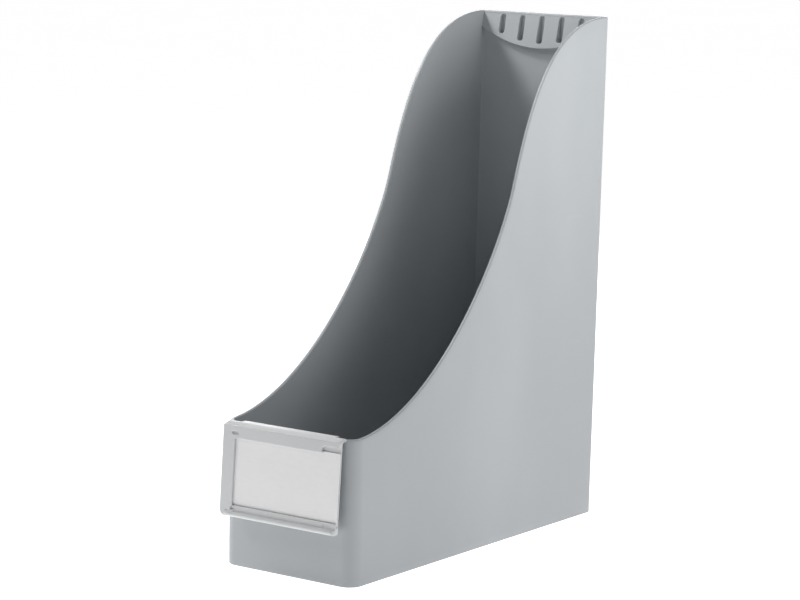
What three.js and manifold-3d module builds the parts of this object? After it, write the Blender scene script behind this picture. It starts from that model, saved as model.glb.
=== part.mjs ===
// Magazine file holder: a moulded open bin with S-curved sides and a slotted finger rail,
// a label holder that hooks over the low front wall, and a card that slides into it.
// Millimetres, +Z up, front towards -Y, +X to the right.
import * as THREE from 'three';
import { mergeVertices } from 'three/addons/utils/BufferGeometryUtils.js';
import Module from 'manifold-3d';

const wasm = await Module();
wasm.setup();

const degrees = Math.PI / 180;

// Bin: overall sizes
const fileWidth = 100;
const fileDepth = 278; // front plane to back plane, measured at full height
const fileHeight = 336;
const frontHeight = 91;
const wall = 2.5;
const floorThickness = 2.6;
const frontDraft = 0.5 * degrees; // each wall leans outwards as it rises
const backDraft = 0.4 * degrees;
const frontCornerRadius = 9.5;
const backCornerRadius = 1;
const leastInnerRadius = 0.5;

// Bin: side profile, one bend point with a pull on each side of it
const bendFromFront = 171;
const bendHeight = 233;
const bendAngle = 72 * degrees;
const frontPull = 83;
const lowerBendPull = 51;
const upperBendPull = 62;
const shoulderPull = 62;

// Finger rail: a wedge inside the top of the back wall, with pockets
const railDrop = 24; // top edge to the rail's lowest point, mid-width
const railEndRise = 14; // how much higher its lower edge is at the side walls
const railProud = 5;
const railLand = 1.5; // flat strip left above the wedge
const pocketCount = 5;
const pocketPitch = 15.6;
const pocketWidth = 4.8;
const pocketTopLand = 1.7;
const pocketBottomLand = 3.2;
const pocketSkin = 0.8;

// Label holder
const holderWidth = 88.8;
const holderHeight = 56.8;
const holderThickness = 3.4;
const holderStandOff = 7.3; // front wall to the holder's face, at its top edge
const holderTilt = 3.3 * degrees; // the foot stands further out than the top
const holderCorner = 4; // rounding of the plate's lower left corner
const holderOpenCorner = 2; // the same at the open end
const holderTopCorner = 1;
const ledgeNose = 1; // flat on the face's top edge before the ledge starts to slope
const holderBelowRim = 0.5;
const ledgeRise = 1.3; // the ledge slopes up from the holder's face to the hook
const topRail = 7.8;
const bottomRail = 7.4;
const leftBar = 9.4;
const lipThickness = 1.2; // front lips that keep the card in
const beadRadius = 2;
const beadSink = 0.9; // bead centre behind the holder's face
const footGroove = 0.7; // the strip between window and bead lies this much behind the face
const notchWidth = 13;
const notchDepth = 4.4;
const notchCorner = 2.2;
const dimpleRadius = 1.5;
const dimpleDepth = 0.8;
const upperDimpleInset = 3.4; // dimple's centre above the window's top edge
const lowerDimpleInset = 1.7; // dimple's centre below the window's bottom edge

// Hook that hangs the holder on the front wall
const hookWidth = 72;
const hookThickness = 1.6;
const hookLeg = 9;
const ribSpacing = 48;
const ribThickness = 1.6;
const ribFoot = 4; // how far each rib stops above the holder's foot

// Card
const cardThickness = 0.4;
const cardTuck = 2.2; // hidden behind the left and bottom lips
const cardTopTuck = 0.9; // and behind the top lip

// Clearances
const gap = 0.3; // between pieces that touch
const overshoot = 4; // how far cutting solids run past what they cut
const sharpCorner = 0.1; // radius of an outline's corner that ends up inside another solid

// Straight pieces per curve, and the distance under which corners are one point
const profileSegments = 24;
const archSegments = 16;
const cornerSegments = 10;
const holderSegments = 8;
const pocketSegments = 6;
const beadSides = 24;
const dimpleSides = 20;
const weldDistance = 1e-4;

// Places worked out from the sizes
const halfWidth = fileWidth / 2;
const frontAtTop = -fileDepth / 2;
const backAtTop = fileDepth / 2;
const frontFace = (z) => frontAtTop + (fileHeight - z) * Math.tan(frontDraft);
const backFace = (z) => backAtTop - (fileHeight - z) * Math.tan(backDraft);
const holderTop = frontHeight - holderBelowRim;
const holderFace = frontFace(holderTop) - holderStandOff;
const hookTop = holderTop + ledgeRise;
const hookUnderside = hookTop - hookThickness;
const cardChannel = cardThickness + 2 * gap;
const windowHeight = holderHeight - topRail - bottomRail;
const cardHeight = windowHeight + cardTuck + cardTopTuck;
const cardLeft = -holderWidth / 2 + leftBar - cardTuck;
const cardWidth = holderWidth / 2 - cardLeft;

// A closed triangle mesh as a manifold solid.
function solidOf(geometry) {
  const bare = geometry.index ? geometry.toNonIndexed() : geometry.clone();
  bare.deleteAttribute('normal');
  bare.deleteAttribute('uv');
  const merged = mergeVertices(bare, weldDistance);
  const vertProperties = new Float32Array(merged.attributes.position.array);
  const triVerts = new Uint32Array(merged.index.array);
  return new wasm.Manifold(new wasm.Mesh({ numProp: 3, vertProperties, triVerts }));
}

function geometryOf(solid) {
  const mesh = solid.getMesh();
  const geometry = new THREE.BufferGeometry();
  geometry.setAttribute('position', new THREE.BufferAttribute(new Float32Array(mesh.vertProperties), 3));
  geometry.setIndex(new THREE.BufferAttribute(new Uint32Array(mesh.triVerts), 1));
  const flat = geometry.toNonIndexed();
  flat.computeVertexNormals();
  return flat;
}

// Box between two corners.
function block(low, high) {
  const size = high.map((value, axis) => value - low[axis]);
  const centre = high.map((value, axis) => (value + low[axis]) / 2);
  return new THREE.BoxGeometry(...size).translate(...centre);
}

// Outline drawn in Y and Z, carried along X from x0 to x1.
function acrossX(shape, x0, x1, curveSegments = holderSegments) {
  const settings = { depth: x1 - x0, bevelEnabled: false, curveSegments };
  const geometry = new THREE.ExtrudeGeometry(shape, settings);
  const turn = new THREE.Matrix4().makeBasis(
    new THREE.Vector3(0, 1, 0),
    new THREE.Vector3(0, 0, 1),
    new THREE.Vector3(1, 0, 0),
  );
  return geometry.applyMatrix4(turn).translate(x0, 0, 0);
}

// Outline drawn in X and Z, carried along Y from y0 to y1.
function alongY(shape, y0, y1, curveSegments = holderSegments) {
  const settings = { depth: y1 - y0, bevelEnabled: false, curveSegments };
  const geometry = new THREE.ExtrudeGeometry(shape, settings);
  return geometry.rotateX(Math.PI / 2).translate(0, y1, 0);
}

// Rectangle with a radius of its own at each end of the Y range (or Z range).
function roundedOutline(x0, x1, v0, v1, lowRadius, highRadius) {
  const outline = new THREE.Shape();
  outline.moveTo(x0 + lowRadius, v0);
  outline.lineTo(x1 - lowRadius, v0);
  outline.absarc(x1 - lowRadius, v0 + lowRadius, lowRadius, -Math.PI / 2, 0);
  outline.lineTo(x1, v1 - highRadius);
  outline.absarc(x1 - highRadius, v1 - highRadius, highRadius, 0, Math.PI / 2);
  outline.lineTo(x0 + highRadius, v1);
  outline.absarc(x0 + highRadius, v1 - highRadius, highRadius, Math.PI / 2, Math.PI);
  outline.lineTo(x0, v0 + lowRadius);
  outline.absarc(x0 + lowRadius, v0 + lowRadius, lowRadius, Math.PI, Math.PI * 1.5);
  return outline;
}

// Upright prism between two heights, its Y stretched so that it follows both leaning walls.
function draftedPrism(inset, z0, z1) {
  const outline = roundedOutline(
    -halfWidth + inset,
    halfWidth - inset,
    frontFace(0) + inset,
    backFace(0) - inset,
    Math.max(frontCornerRadius - inset, leastInnerRadius),
    Math.max(backCornerRadius - inset, leastInnerRadius),
  );
  const settings = { depth: z1 - z0, bevelEnabled: false, curveSegments: cornerSegments };
  const prism = new THREE.ExtrudeGeometry(outline, settings);
  prism.translate(0, 0, z0);
  const places = prism.attributes.position;
  for (let i = 0; i < places.count; i += 1) {
    const z = places.getZ(i);
    const share = (places.getY(i) - frontFace(0)) / (backFace(0) - frontFace(0));
    places.setY(i, frontFace(z) + share * (backFace(z) - frontFace(z)));
  }
  return solidOf(prism);
}

// Everything below the walls' top edge: level at the front, swept up, round over the shoulder.
function belowTheRim() {
  const bendY = frontAtTop + bendFromFront;
  const bendStepY = Math.cos(bendAngle);
  const bendStepZ = Math.sin(bendAngle);
  const side = new THREE.Shape();
  side.moveTo(frontAtTop - overshoot, -overshoot);
  side.lineTo(backAtTop + overshoot, -overshoot);
  side.lineTo(backAtTop + overshoot, fileHeight);
  side.lineTo(backAtTop, fileHeight);
  side.bezierCurveTo(
    backAtTop - shoulderPull,
    fileHeight,
    bendY + bendStepY * upperBendPull,
    bendHeight + bendStepZ * upperBendPull,
    bendY,
    bendHeight,
  );
  side.bezierCurveTo(
    bendY - bendStepY * lowerBendPull,
    bendHeight - bendStepZ * lowerBendPull,
    frontAtTop + frontPull,
    frontHeight,
    frontAtTop,
    frontHeight,
  );
  side.lineTo(frontAtTop - overshoot, frontHeight);
  return solidOf(acrossX(side, -halfWidth - overshoot, halfWidth + overshoot, profileSegments));
}

// Height of the finger rail's lower edge at x: an arch, lowest in the middle.
const railLowerEdge = (x) => fileHeight - railDrop + railEndRise * (x / halfWidth) ** 2;

// Wedge with its arched lower edge, flush with the wall at its top.
function fingerRail() {
  const inner = backFace(fileHeight) - wall;
  const lowest = fileHeight - railDrop;
  const wedge = new THREE.Shape();
  wedge.moveTo(inner + wall / 2, fileHeight - railLand);
  wedge.lineTo(inner, fileHeight - railLand);
  wedge.lineTo(inner - railProud, lowest);
  wedge.lineTo(inner + wall / 2, lowest);
  const reach = halfWidth - wall / 2;
  const arch = new THREE.Shape();
  arch.moveTo(-reach, fileHeight);
  arch.lineTo(-reach, railLowerEdge(reach));
  arch.quadraticCurveTo(0, 2 * lowest - railLowerEdge(reach), reach, railLowerEdge(reach));
  arch.lineTo(reach, fileHeight);
  const wedgeSolid = solidOf(acrossX(wedge, -reach, reach));
  const archSolid = solidOf(alongY(arch, inner - railProud - overshoot, backAtTop, archSegments));
  return wedgeSolid.intersect(archSolid);
}

// One blind pocket with round ends, cut from the front of the rail to a thin skin at the back.
function railPocket(x) {
  const low = railLowerEdge(x) + pocketBottomLand;
  const high = fileHeight - pocketTopLand;
  const radius = pocketWidth / 2;
  const outline = roundedOutline(x - radius, x + radius, low, high, radius, radius);
  const depthEnd = backFace(low) - pocketSkin;
  return solidOf(alongY(outline, backAtTop - wall - railProud - overshoot, depthEnd, pocketSegments));
}

// Shallow step in the front rim that the holder's hook sits in, so that it can't slide sideways.
function rimStep() {
  const reach = hookWidth / 2 + gap;
  const low = hookUnderside - gap;
  const back = frontFace(frontHeight) + wall + overshoot;
  return solidOf(block([-reach, frontAtTop - overshoot, low], [reach, back, frontHeight + overshoot]));
}

function fileBody() {
  const inside = draftedPrism(wall, floorThickness, fileHeight + overshoot);
  let bin = draftedPrism(0, 0, fileHeight).subtract(inside);
  bin = bin.add(fingerRail());
  for (let i = 0; i < pocketCount; i += 1) {
    bin = bin.subtract(railPocket((i - (pocketCount - 1) / 2) * pocketPitch));
  }
  return bin.intersect(belowTheRim()).subtract(rimStep());
}

// Turns a holder piece from its own frame (face at y = 0, top edge at z = 0) to its tilted place.
function hung(solid) {
  const tilt = -holderTilt / degrees;
  return solid.rotate([tilt, 0, 0]).translate([0, holderFace, holderTop]);
}

// Outline of the plate in X and Z, rounder at its lower left corner than at the open end.
function plateOutline() {
  const half = holderWidth / 2;
  const outline = new THREE.Shape();
  outline.moveTo(-half + holderCorner, -holderHeight);
  outline.lineTo(half - holderOpenCorner, -holderHeight);
  const openCentre = { x: half - holderOpenCorner, z: -holderHeight + holderOpenCorner };
  outline.absarc(openCentre.x, openCentre.z, holderOpenCorner, -Math.PI / 2, 0);
  outline.lineTo(half, -holderTopCorner);
  outline.absarc(half - holderTopCorner, -holderTopCorner, holderTopCorner, 0, Math.PI / 2);
  outline.lineTo(-half + holderTopCorner, 0);
  outline.absarc(-half + holderTopCorner, -holderTopCorner, holderTopCorner, Math.PI / 2, Math.PI);
  outline.lineTo(-half, -holderHeight + holderCorner);
  outline.absarc(-half + holderCorner, -holderHeight + holderCorner, holderCorner, Math.PI, Math.PI * 1.5);
  return outline;
}

// Flat plate with a shallow strip below the window and a round bead along its foot.
function holderPlate() {
  const half = holderWidth / 2;
  const groove = block(
    [-half + leftBar, -overshoot, -holderHeight + beadRadius],
    [half + overshoot, footGroove, -holderHeight + bottomRail],
  );
  const plate = solidOf(alongY(plateOutline(), 0, holderThickness)).subtract(solidOf(groove));
  const beadLength = holderWidth - holderCorner - holderOpenCorner;
  const bead = new THREE.CylinderGeometry(beadRadius, beadRadius, beadLength, beadSides);
  const beadMiddle = (holderCorner - holderOpenCorner) / 2;
  bead.rotateZ(Math.PI / 2).translate(beadMiddle, beadSink, -holderHeight + beadRadius);
  return plate.add(solidOf(bead));
}

// The window in the face and the card's channel behind its lips, both open at the right.
function cardPocket() {
  const open = holderWidth / 2 + overshoot;
  const windowLow = -holderHeight + bottomRail;
  const left = -holderWidth / 2 + leftBar;
  const windowCut = block(
    [left, -overshoot, windowLow],
    [open, lipThickness + cardChannel / 2, -topRail],
  );
  const channel = block(
    [cardLeft - gap, lipThickness, windowLow - cardTuck - gap],
    [open, lipThickness + cardChannel, -topRail + cardTuck + gap],
  );
  return solidOf(windowCut).add(solidOf(channel));
}

// Round-cornered bite out of the top lip at the open end, to push the card out with a thumb.
function thumbNotch() {
  const right = holderWidth / 2 + overshoot;
  const outline = roundedOutline(
    holderWidth / 2 - notchWidth,
    right,
    -topRail - overshoot,
    -topRail + notchDepth,
    sharpCorner,
    notchCorner,
  );
  return solidOf(alongY(outline, -overshoot, lipThickness + cardChannel / 2));
}

// Small round dimple at one corner of the window.
function dimple(x, z) {
  const drill = new THREE.CylinderGeometry(dimpleRadius, dimpleRadius, 2 * dimpleDepth, dimpleSides);
  return solidOf(drill.translate(x, 0, z));
}

// Upright rib behind the plate that rests against the front wall.
function standOffRib(x) {
  const foot = holderTop - holderHeight * Math.cos(holderTilt) + ribFoot;
  const top = hookUnderside;
  const backSkin = holderThickness - lipThickness - cardChannel;
  const middleOfSkin = holderThickness - backSkin / 2;
  const plateAt = (z) => holderFace - (holderTop - z) * Math.tan(holderTilt) + middleOfSkin;
  const rib = new THREE.Shape();
  rib.moveTo(plateAt(foot), foot);
  rib.lineTo(frontFace(foot) - gap, foot);
  rib.lineTo(frontFace(top) - gap, top);
  rib.lineTo(plateAt(top), top);
  return solidOf(acrossX(rib, x - ribThickness / 2, x + ribThickness / 2));
}

// Sloping ledge from the plate back to the wall, a bridge over the rim and a short leg inside the bin.
function hangingHook() {
  const half = holderWidth / 2;
  const wallFront = frontFace(hookUnderside) - gap;
  const legLow = hookUnderside - hookLeg;
  const legFront = frontFace(legLow) + wall + gap;
  const legBack = legFront + hookThickness;
  const intoPlate = holderFace + holderThickness / 2;
  const ledge = new THREE.Shape();
  ledge.moveTo(intoPlate, holderTop - hookThickness);
  ledge.lineTo(wallFront - hookThickness, hookUnderside);
  ledge.lineTo(wallFront, hookUnderside);
  ledge.lineTo(wallFront, hookTop);
  ledge.lineTo(wallFront - hookThickness, hookTop);
  ledge.lineTo(holderFace + ledgeNose, holderTop);
  ledge.lineTo(intoPlate, holderTop - hookThickness / 2);
  const bridge = block(
    [-hookWidth / 2, wallFront - hookThickness / 2, hookUnderside],
    [hookWidth / 2, legBack, hookTop],
  );
  const leg = block([-hookWidth / 2, legFront, legLow], [hookWidth / 2, legBack, hookTop]);
  return solidOf(acrossX(ledge, -half, half)).add(solidOf(bridge)).add(solidOf(leg));
}

function labelHolder() {
  const windowLeft = -holderWidth / 2 + leftBar;
  const upper = -topRail + upperDimpleInset;
  const lower = -holderHeight + bottomRail - lowerDimpleInset;
  let plate = holderPlate().subtract(cardPocket()).subtract(thumbNotch());
  for (const x of [windowLeft, -windowLeft]) {
    plate = plate.subtract(dimple(x, upper)).subtract(dimple(x, lower));
  }
  let holder = hung(plate).add(hangingHook());
  for (const x of [-ribSpacing / 2, ribSpacing / 2]) {
    holder = holder.add(standOffRib(x));
  }
  return holder;
}

function labelCard() {
  const front = lipThickness + (cardChannel - cardThickness) / 2;
  const low = -holderHeight + bottomRail - cardTuck;
  const high = low + cardHeight;
  const card = block([cardLeft, front, low], [cardLeft + cardWidth, front + cardThickness, high]);
  return hung(solidOf(card));
}

function finish(color, roughness) {
  return new THREE.MeshStandardMaterial({ color, roughness, metalness: 0 });
}

function named(name, solid, material) {
  const mesh = new THREE.Mesh(geometryOf(solid), material);
  mesh.name = name;
  return mesh;
}

const holder = labelHolder();
const furthestForward = holder.boundingBox().min[1];
const assembly = new THREE.Group();
assembly.add(named('file_body', fileBody(), finish(0xb6b9bb, 0.5)));
assembly.add(named('label_holder', holder, finish(0xc9cbcd, 0.4)));
assembly.add(named('label_card', labelCard(), finish(0xf0f0ee, 0.8)));
assembly.position.y = -(furthestForward + backAtTop) / 2; // centres the whole piece over the origin

export default assembly;
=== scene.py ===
"""Magazine file holder: moulded bin, finger rail, hooked label holder and its card.

Lengths inside the classes are millimetres, +Z up, the front towards -Y; meshes are written in metres.
"""

from __future__ import annotations

import logging
import math
from dataclasses import dataclass
from enum import Enum

import bpy
import numpy as np
from mathutils import Matrix, Vector


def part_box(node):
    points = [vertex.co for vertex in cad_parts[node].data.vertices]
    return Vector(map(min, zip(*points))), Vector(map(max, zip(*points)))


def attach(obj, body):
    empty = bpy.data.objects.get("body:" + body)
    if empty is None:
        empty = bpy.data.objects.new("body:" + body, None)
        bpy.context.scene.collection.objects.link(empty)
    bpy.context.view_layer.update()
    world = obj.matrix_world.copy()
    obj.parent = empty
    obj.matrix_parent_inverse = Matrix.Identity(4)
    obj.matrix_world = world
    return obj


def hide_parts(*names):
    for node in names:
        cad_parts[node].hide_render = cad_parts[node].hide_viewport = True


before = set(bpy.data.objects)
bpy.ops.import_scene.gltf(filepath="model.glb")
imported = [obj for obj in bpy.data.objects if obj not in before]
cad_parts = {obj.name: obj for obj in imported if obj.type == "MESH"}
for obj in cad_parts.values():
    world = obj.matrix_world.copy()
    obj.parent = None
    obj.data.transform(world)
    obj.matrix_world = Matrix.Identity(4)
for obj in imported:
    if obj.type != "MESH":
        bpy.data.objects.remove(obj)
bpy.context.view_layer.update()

MM = 0.001  # millimetres to metres
QUARTER = np.linspace(0, math.pi / 2, 6)  # angles of a rounded edge
FLOOR_SCALES = (0.02, 0.5, 0.9, 0.99)  # rows over a flat floor, as shares of its outline
STEP_HALF = 0.15  # half the width of a step's ramp
ON_FACE = 0.01  # how near a face a point counts as lying on it
BEYOND = 40.0  # how far past the plate an outline runs that is open on that side
WAVE_DEPTH = 0.0004  # metres
FIBRE_DEPTH = 0.00003  # metres
log = logging.getLogger("file_holder")

Array = np.ndarray
Pair = tuple[float, float]
Colour = tuple[int, int, int]
Place = tuple[float, float, float]
Values = dict[object, object]
Piece = bpy.types.Object
Pieces = list[Piece]


class Body(Enum):
    """Moving bodies of the frame."""

    BIN = "bin"
    HOLDER = "holder"
    CARD = "card"


class Slot(Enum):
    """Material slots of the record."""

    BIN_PLASTIC = "bin_plastic"
    HOLDER_PLASTIC = "holder_plastic"
    CARD_PAPER = "card_paper"


# ---- outlines


def bezier(points: Array, count: int) -> Array:
    """Cubic curve through its first and last points, pulled towards the two between.

    Each place is the sum of the four points weighted by the cubic Bernstein terms.

    Args:
        points: Four points, one per row.
        count: How many places to return.

    Returns:
        Places along the curve, ends included.
    """
    t = np.linspace(0.0, 1.0, count)[:, None]
    terms = ((1 - t) ** 3, 3 * t * (1 - t) ** 2, 3 * t**2 * (1 - t), t**3)
    return sum(term * point for term, point in zip(terms, points))


def rounded_path(corners: list[Place], closed: bool = True, steps: int = 10) -> Array:
    """Polyline through corner points, each corner replaced by an arc of its own radius.

    The arc starts and ends radius * tan(turn / 2) from the corner along its two sides.

    Args:
        corners: x, y and corner radius of each point, in order.
        closed: Whether the last point joins the first; an open path keeps its end points.
        steps: Straight pieces in each arc.

    Returns:
        Points of the polyline, one per row.
    """
    points = []
    count = len(corners)
    for index, (x, y, radius) in enumerate(corners):
        here = np.array([x, y])
        at_end = not closed and index in (0, count - 1)
        if radius <= 0 or at_end:
            points.append(here[None])
            continue
        before = here - np.array(corners[index - 1][:2])
        after = np.array(corners[(index + 1) % count][:2]) - here
        before = before / np.linalg.norm(before)
        after = after / np.linalg.norm(after)
        turn = math.atan2(before[0] * after[1] - before[1] * after[0], float(before @ after))
        side = np.array([-before[1], before[0]]) * math.copysign(radius, turn)
        centre = here - before * radius * math.tan(abs(turn) / 2) + side
        angles = np.linspace(0.0, turn, steps + 1)[:, None]
        points.append(centre - side * np.cos(angles) + before * radius * np.sin(np.abs(angles)))
    return np.vstack(points)


def walk(path: Array) -> Array:
    """Distance from a polyline's first point to each of its points, along the polyline."""
    return np.concatenate([[0.0], np.cumsum(np.linalg.norm(np.diff(path, axis=0), axis=1))])


def along(path: Array, fractions: Array) -> Array:
    """Places at given fractions of a polyline's length.

    Args:
        path: Points of the polyline.
        fractions: Values from 0 to 1.

    Returns:
        One place per fraction, interpolated between the polyline's points.
    """
    reach = walk(path)
    reach = reach / reach[-1]
    return np.stack([np.interp(fractions, reach, path[:, axis]) for axis in range(path.shape[1])], axis=1)


def even_loop(corners: list[Place], count: int, steps: int = 10) -> Array:
    """Evenly spaced points round a closed outline with rounded corners."""
    path = rounded_path(corners, steps=steps)
    return along(np.vstack([path, path[:1]]), np.linspace(0, 1, count + 1)[:-1])


def inset_path(path: Array, amount: float) -> Array:
    """Closed counter-clockwise outline moved inwards, each point along the mean normal of its two sides.

    Args:
        path: Points of the outline.
        amount: Distance to move in.

    Returns:
        The moved points.
    """
    ahead = np.roll(path, -1, axis=0) - path
    behind = path - np.roll(path, 1, axis=0)
    ahead = ahead / np.linalg.norm(ahead, axis=1, keepdims=True)
    behind = behind / np.linalg.norm(behind, axis=1, keepdims=True)
    normal_a = np.stack([-ahead[:, 1], ahead[:, 0]], axis=1)
    normal_b = np.stack([-behind[:, 1], behind[:, 0]], axis=1)
    total = normal_a + normal_b
    return path + amount * 2 * total / np.maximum((total**2).sum(axis=1, keepdims=True), 0.5)


def smooth(low: float, high: float, value: Array) -> Array:
    """Cubic ramp from 0 at low to 1 at high, level beyond both."""
    t = np.clip((value - low) / (high - low), 0.0, 1.0)
    return t * t * (3 - 2 * t)


def within(reach: float, x: Array) -> Array:
    """1 where x is nearer the middle than reach and 0 beyond it, with a short ramp between."""
    return 1 - smooth(reach - STEP_HALF, reach + STEP_HALF, np.abs(x))


def crisp(x: Array, reach: float) -> Array:
    """Places across the bin, with a close pair at both ends of a step in place of those beside it."""
    pair = np.array([reach - STEP_HALF, reach + STEP_HALF])
    kept = x[np.abs(np.abs(x) - reach) > 0.5]
    return np.unique(np.concatenate([kept, pair, -pair]))


def rectangle_distance(x: Array, z: Array, low: Pair, high: Pair, radius: float | Array) -> Array:
    """Signed distance to a rectangle with round corners, negative inside.

    The rectangle is shrunk by its corner radius, the box distance is taken, then the radius comes off.

    Args:
        x: First coordinate of the points.
        z: Second coordinate of the points.
        low: Lowest corner.
        high: Highest corner.
        radius: Corner radius, one value or one per point.

    Returns:
        Distance of every point.
    """
    dx = np.abs(x - (low[0] + high[0]) / 2) - (high[0] - low[0]) / 2 + radius
    dz = np.abs(z - (low[1] + high[1]) / 2) - (high[1] - low[1]) / 2 + radius
    outside = np.hypot(np.maximum(dx, 0), np.maximum(dz, 0))
    return outside + np.minimum(np.maximum(dx, dz), 0) - radius


def edge_turn(radius: float) -> list[Pair]:
    """Distance in from the face and distance down from the top, at each angle of a rounded edge."""
    return [(radius * (1 - math.cos(a)), radius * (1 - math.sin(a))) for a in QUARTER]


def edge_drop(distance: Array, radius: float) -> Array:
    """How far a rounded edge falls below its face, at a distance in from the edge (a quarter circle)."""
    short = radius - np.clip(distance, 0.0, radius)
    return radius - np.sqrt(np.maximum(radius**2 - short**2, 0.0))


# ---- meshes


def ring_faces(rings: int, points: int) -> Array:
    """Quads between neighbouring rings of a stack, each ring closed on itself."""
    ring, point = np.meshgrid(np.arange(rings - 1), np.arange(points), indexing="ij")
    ahead = (point + 1) % points
    low, high = ring * points, (ring + 1) * points
    quads = (low + point, low + ahead, high + ahead, high + point)
    return np.stack(quads, axis=-1).reshape(-1, 4)


def add_object(name: str, data: bpy.types.ID) -> Piece:
    """Object made from its data and linked to the scene."""
    made = bpy.data.objects.new(name, data)
    bpy.context.scene.collection.objects.link(made)
    return made


def make_piece(name: str, places: Array, faces: list[list[int]], sharp: float) -> Piece:
    """Mesh object with smooth shading, split only where faces meet at more than an angle.

    Args:
        name: Name of the piece.
        places: Points in millimetres.
        faces: Indices of each face's corners, outwards counter-clockwise.
        sharp: Angle in degrees over which an edge stays crisp.

    Returns:
        The object, linked to the scene.
    """
    mesh = bpy.data.meshes.new(name)
    mesh.from_pydata((places * MM).tolist(), [], faces)
    mesh.validate()
    mesh.polygons.foreach_set("use_smooth", np.ones(len(mesh.polygons), dtype=bool))
    mesh.set_sharp_from_angle(angle=math.radians(sharp))
    mesh.update()
    return add_object(name, mesh)


def stack_piece(name: str, rings: Array, sharp: float = 40.0) -> Piece:
    """Closed piece from a stack of rings whose first and last rings are capped with one face each.

    Args:
        name: Name of the piece.
        rings: Points, shaped rings x points x 3.
        sharp: Angle in degrees over which an edge stays crisp.

    Returns:
        The object.
    """
    count, points = rings.shape[:2]
    faces = ring_faces(count, points).tolist()
    faces.append(list(range(points))[::-1])
    faces.append(list(range((count - 1) * points, count * points)))
    return make_piece(name, rings.reshape(-1, 3), faces, sharp)


def bar_across(name: str, outline: Array, x0: float, x1: float, edge: float) -> Piece:
    """Bar along X with a Y-Z outline and rounded ends.

    Near each end the outline moves in by edge * (1 - cos a) while x stops edge * (1 - sin a) short of it.

    Args:
        name: Name of the piece.
        outline: Counter-clockwise points in Y and Z, seen from +X.
        x0: Left end.
        x1: Right end.
        edge: Rounding radius of both end edges.

    Returns:
        The object.
    """
    angles = np.linspace(0.0, math.pi / 2, 5)[::-1]
    inset = edge * (1 - np.cos(angles))
    back = edge * (1 - np.sin(angles))
    inner = np.linspace(x0 + edge, x1 - edge, 24)[1:-1]
    xs = np.concatenate([x0 + back, inner, (x1 - back)[::-1]])
    insets = np.concatenate([inset, np.zeros(len(inner)), inset[::-1]])
    rings = [np.insert(inset_path(outline, inset), 0, x, axis=1) for x, inset in zip(xs, insets)]
    return stack_piece(name, np.stack(rings))


def corner_run(sharp: Pair, radius: float, loss: float, start: float, count: int) -> tuple[Array, Array]:
    """Rounded corner of a plan centred on x = 0, and how its points move inwards.

    Per millimetre moved in, the sharp corner moves along both axes and the radius shrinks by loss, so a point
    moves by (loss - 1) * corner signs - loss * normal.

    Args:
        sharp: The sharp corner.
        radius: Radius at the outer face.
        loss: Radius lost per millimetre.
        start: Angle of the first normal.
        count: How many points.

    Returns:
        Points and inward moves.
    """
    angles = start + np.linspace(0, math.pi / 2, count)
    normal = np.column_stack([np.cos(angles), np.sin(angles)])
    signs = np.sign(sharp)
    return np.array(sharp) - radius * signs + radius * normal, (loss - 1) * signs - loss * normal


def straight_run(x: Array, y: Array, normal: Pair) -> tuple[Array, Array]:
    """Straight side of a plan, and its inward moves against one normal."""
    points = np.column_stack(np.broadcast_arrays(x, y)).astype(float)
    return points, -np.tile(np.array(normal, float), (len(points), 1))


# ---- bin


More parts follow.
